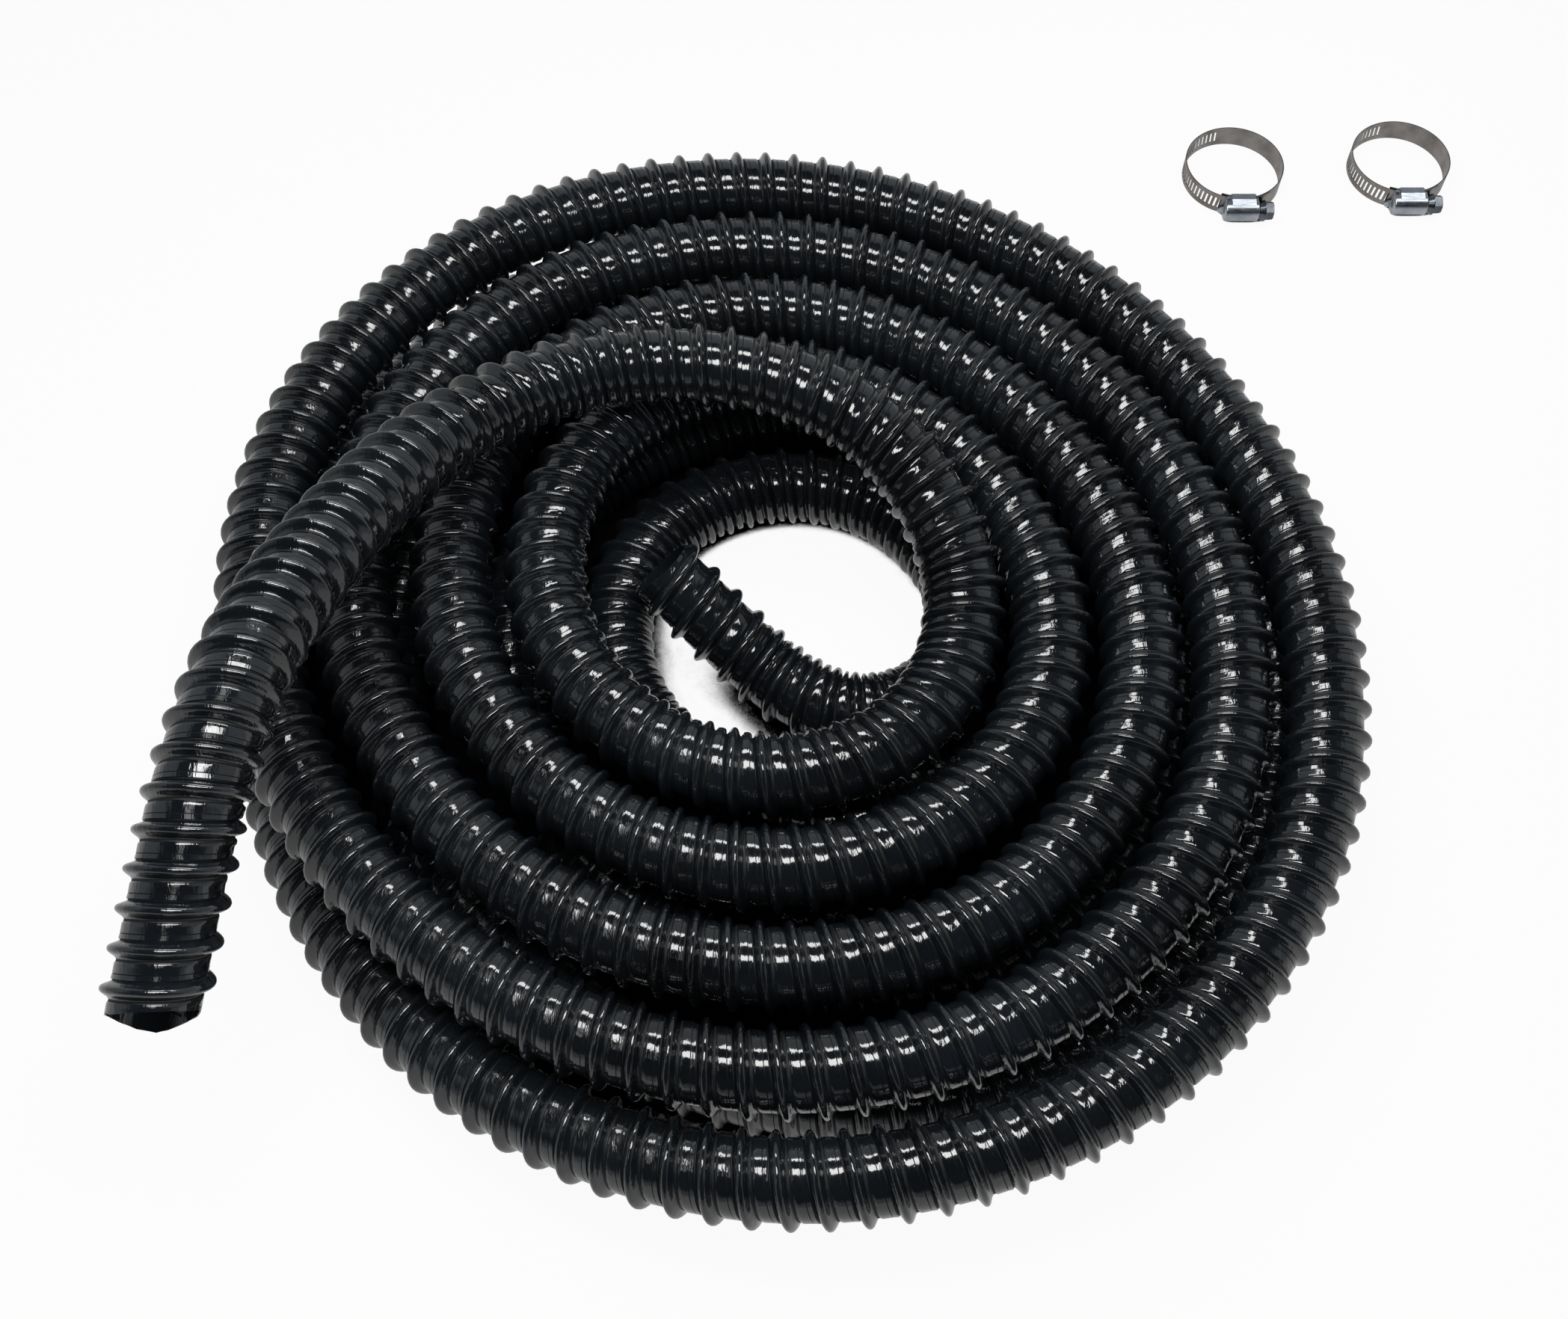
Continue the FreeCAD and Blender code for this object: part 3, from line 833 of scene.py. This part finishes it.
    def build(self) -> None:
        """Build the hose, dress it and stand it for its solids."""
        vinyl = BLACK_VINYL.build()
        skins = self.build_skin()
        liner, path = self.build_liner()
        nodes = ["hose_outer_end", "hose_crossing", "hose_upper_coil", "hose_return", "hose_lower_coil",
                 "hose_inner_run", "hose_inner_end"]
        for piece in skins + [liner]:
            piece.data.materials.clear()
            piece.data.materials.append(vinyl)
            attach(piece, "hose")
            LOG.info("%s: %d faces", piece.name, len(piece.data.polygons))
        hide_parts(*nodes)
        for name in nodes:
            dress(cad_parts[name], vinyl)
        LOG.info("hose: %.2f m, %.1f turns of rib", self.line.length * MM, self.turns)


@dataclass
class BandClamp:
    """One loose worm-drive clamp: slotted band, pressed housing, saddle and screw."""

    letter: str

    def build(self, finishes: dict[str, bpy.types.Material]) -> None:
        """Dress the clamp's solids.

        Args:
            finishes: Material for each kind of piece.
        """
        for kind, material in finishes.items():
            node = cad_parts[f"clamp_{self.letter}_{kind}"]
            dress(node, material)
            LOG.info("%s: %s", node.name, material.name)


@dataclass(frozen=True)
class SoftLamp:
    """A rectangular lamp that faces a point, out of the camera's sight.

    Its place and target are in millimetres, and so is its size, along X and across. Its power is its
    brightness where the spread, the full angle of its beam in degrees, is 180.
    """

    name: str
    place: tuple[float, float, float]
    size: tuple[float, float]
    target: tuple[float, float, float]
    power: float
    spread: float = 180.0

    def build(self) -> None:
        """Add the lamp to the scene."""
        data = bpy.data.lights.new(self.name, "AREA")
        data.shape = "RECTANGLE"
        data.size = self.size[0] * MM
        data.size_y = self.size[1] * MM
        data.energy = self.power * math.pi * data.size * data.size_y
        data.spread = math.radians(self.spread)
        lamp = bpy.data.objects.new(self.name, data)
        lamp.location = Vector(self.place) * MM
        back = Vector(self.place) - Vector(self.target)
        lamp.rotation_euler = back.to_track_quat("Z", "Y").to_euler()
        lamp.visible_camera = False
        bpy.context.scene.collection.objects.link(lamp)


@dataclass
class Studio:
    """White floor, four soft lamps, the room that gloss sees, and the camera.

    The floor's colour and glow darken, as painted shade, where the share of the sky that is open to it
    within shade_reach falls from the second value of shade to the first.
    """

    camera_place: tuple[float, float, float] = (-59.73, -472.76, 776.0)
    camera_pitch: float = 29.45
    lens: float = 40.76
    sensor: float = 36.0
    floor_size: float = 12000.0
    paper: str = "#f4f4f4"
    paper_in_shade: str = "#101011"
    shade_reach: float = 88.0
    shade_samples: int = 64
    shade: tuple[float, float] = (0.215, 0.25)
    floor_glow: float = 0.94
    floor_in_gloss: float = 0.45
    sky_strength: float = 0.3
    walls: tuple[tuple[float, str], ...] = (
        (0.0, "#8f9396"), (0.33, "#8f9497"), (0.66, "#8d9295"), (0.76, "#17171c"))
    lamps: tuple[SoftLamp, ...] = (
        SoftLamp("front_strip", (-90.0, -184.0, 764.0), (430.0, 190.0), (-90.0, -389.0, 0.0), 8.5),
        SoftLamp("back_strip", (-90.0, 243.0, 609.0), (430.0, 105.0), (-90.0, -54.0, 0.0), 8.0),
        SoftLamp("mouth_strip", (-242.0, -212.0, 360.0), (50.0, 345.0), (-242.0, -212.0, 0.0),
                 0.5, 84.0),
        SoftLamp("clamp_panel", (430.0, 300.0, 600.0), (300.0, 340.0), (255.0, 290.0, 8.0),
                 0.2, 44.0),
    )

    def place_camera(self) -> None:
        """Put the camera where the photograph was taken from."""
        data = bpy.data.cameras.new("camera")
        data.lens = self.lens
        data.sensor_width = self.sensor
        data.sensor_fit = "HORIZONTAL"
        data.clip_end = 50.0
        camera = bpy.data.objects.new("camera", data)
        camera.location = Vector(self.camera_place) * MM
        camera.rotation_euler = (math.radians(self.camera_pitch), 0.0, 0.0)
        bpy.context.scene.collection.objects.link(camera)
        bpy.context.scene.camera = camera

    def build_floor(self) -> None:
        """Lay a floor that stays white to the camera, is dimmer in reflections, keeps its lit shadows
        and has painted shade where little sky is open to it.
        """
        bm = bmesh.new()
        bmesh.ops.create_grid(bm, x_segments=1, y_segments=1, size=self.floor_size * MM / 2.0)
        mesh = bpy.data.meshes.new("floor")
        bm.to_mesh(mesh)
        bm.free()
        floor = bpy.data.objects.new("floor", mesh)
        bpy.context.scene.collection.objects.link(floor)
        material = bpy.data.materials.new("white_paper")
        material.use_nodes = True
        tree = material.node_tree
        tree.nodes.clear()
        path = add_node(tree, "ShaderNodeLightPath")
        seen = add_node(tree, "ShaderNodeMath", {"operation": "MAXIMUM"}, {
            0: path.outputs["Is Camera Ray"], 1: path.outputs["Is Glossy Ray"]})
        seen = add_node(tree, "ShaderNodeMath", {"operation": "MAXIMUM"}, {
            0: seen.outputs[0], 1: path.outputs["Is Transmission Ray"]})
        glow = add_node(tree, "ShaderNodeMapRange", inputs={
            "Value": path.outputs["Is Camera Ray"], "To Min": self.floor_in_gloss, "To Max": 1.0})
        sky = add_node(tree, "ShaderNodeAmbientOcclusion", {"samples": self.shade_samples}, {
            "Distance": self.shade_reach * MM})
        # Painted shade: where little sky is open, the glow fades and the paper's colour turns dark.
        open_air = add_node(tree, "ShaderNodeMapRange", {"interpolation_type": "SMOOTHSTEP"}, {
            "Value": sky.outputs["AO"], "From Min": self.shade[0], "From Max": self.shade[1]})
        share = add_node(tree, "ShaderNodeMath", {"operation": "MULTIPLY"}, {
            0: seen.outputs[0], 1: open_air.outputs["Result"]})
        share = add_node(tree, "ShaderNodeMath", {"operation": "MULTIPLY"}, {
            0: share.outputs[0], 1: self.floor_glow})
        shade = add_node(tree, "ShaderNodeMix", {"data_type": "RGBA"}, {
            0: open_air.outputs["Result"], 6: srgb(self.paper_in_shade), 7: srgb(self.paper)})
        paper = add_node(tree, "ShaderNodeBsdfDiffuse", inputs={"Color": shade.outputs[2]})
        white = add_node(tree, "ShaderNodeEmission", inputs={
            "Color": srgb("#ffffff"), "Strength": glow.outputs["Result"]})
        mix = add_node(tree, "ShaderNodeMixShader")
        tree.links.new(share.outputs[0], mix.inputs[0])
        tree.links.new(paper.outputs[0], mix.inputs[1])
        tree.links.new(white.outputs[0], mix.inputs[2])
        add_node(tree, "ShaderNodeOutputMaterial", inputs={"Surface": mix.outputs[0]})
        mesh.materials.append(material)

    def build_room(self) -> None:
        """Light the world: plain for matt surfaces, and pale walls under a dark ceiling in gloss."""
        world = bpy.data.worlds.new("studio")
        bpy.context.scene.world = world
        world.use_nodes = True
        tree = world.node_tree
        tree.nodes.clear()
        path = add_node(tree, "ShaderNodeLightPath")
        place = add_node(tree, "ShaderNodeTexCoord")
        split = add_node(tree, "ShaderNodeSeparateXYZ", inputs={"Vector": place.outputs["Generated"]})
        walls = add_node(tree, "ShaderNodeValToRGB", inputs={"Fac": split.outputs["Z"]})
        set_ramp(walls, self.walls)
        front = add_node(tree, "ShaderNodeMapRange", inputs={
            "Value": split.outputs["Y"], "From Min": -0.45, "From Max": -0.15,
            "To Min": 0.04, "To Max": 1.0})
        low = add_node(tree, "ShaderNodeMapRange", inputs={
            "Value": split.outputs["Z"], "From Min": 0.15, "From Max": 0.28,
            "To Min": 0.8, "To Max": 0.0})
        lit = add_node(tree, "ShaderNodeMath", {"operation": "MAXIMUM"}, {
            0: front.outputs["Result"], 1: low.outputs["Result"]})
        room = add_node(tree, "ShaderNodeBackground", inputs={
            "Color": walls.outputs["Color"], "Strength": lit.outputs[0]})
        plain = add_node(tree, "ShaderNodeBackground", inputs={
            "Color": srgb("#ffffff"), "Strength": self.sky_strength})
        mix = add_node(tree, "ShaderNodeMixShader")
        tree.links.new(path.outputs["Is Glossy Ray"], mix.inputs[0])
        tree.links.new(plain.outputs[0], mix.inputs[1])
        tree.links.new(room.outputs[0], mix.inputs[2])
        add_node(tree, "ShaderNodeOutputWorld", inputs={"Surface": mix.outputs[0]})

    def build(self) -> None:
        """Build the camera, the lamps, the floor and the room."""
        self.place_camera()
        for lamp in self.lamps:
            lamp.build()
        self.build_floor()
        self.build_room()


def dress(obj: bpy.types.Object, material: bpy.types.Material) -> None:
    """Put one material on an object's slots, without changing its mesh.

    Args:
        obj: Object that gets the material.
        material: The material.
    """
    if not obj.material_slots:
        obj.data.materials.append(material)
    for place in obj.material_slots:
        place.link = "OBJECT"
        place.material = material


def main() -> None:
    logging.basicConfig(level=logging.INFO, format="%(message)s")
    bpy.context.scene.view_settings.view_transform = "Standard"
    Studio().build()
    RibbedHose().build()
    strip = ROLLED_STRIP.build()
    pressed = PRESSED_STAINLESS.build()
    zinc = ZINC_PLATE.build()
    for letter in "ab":
        BandClamp(letter).build({"band": strip, "housing": pressed, "saddle": strip, "screw": zinc})


if __name__ == "__main__":
    main()
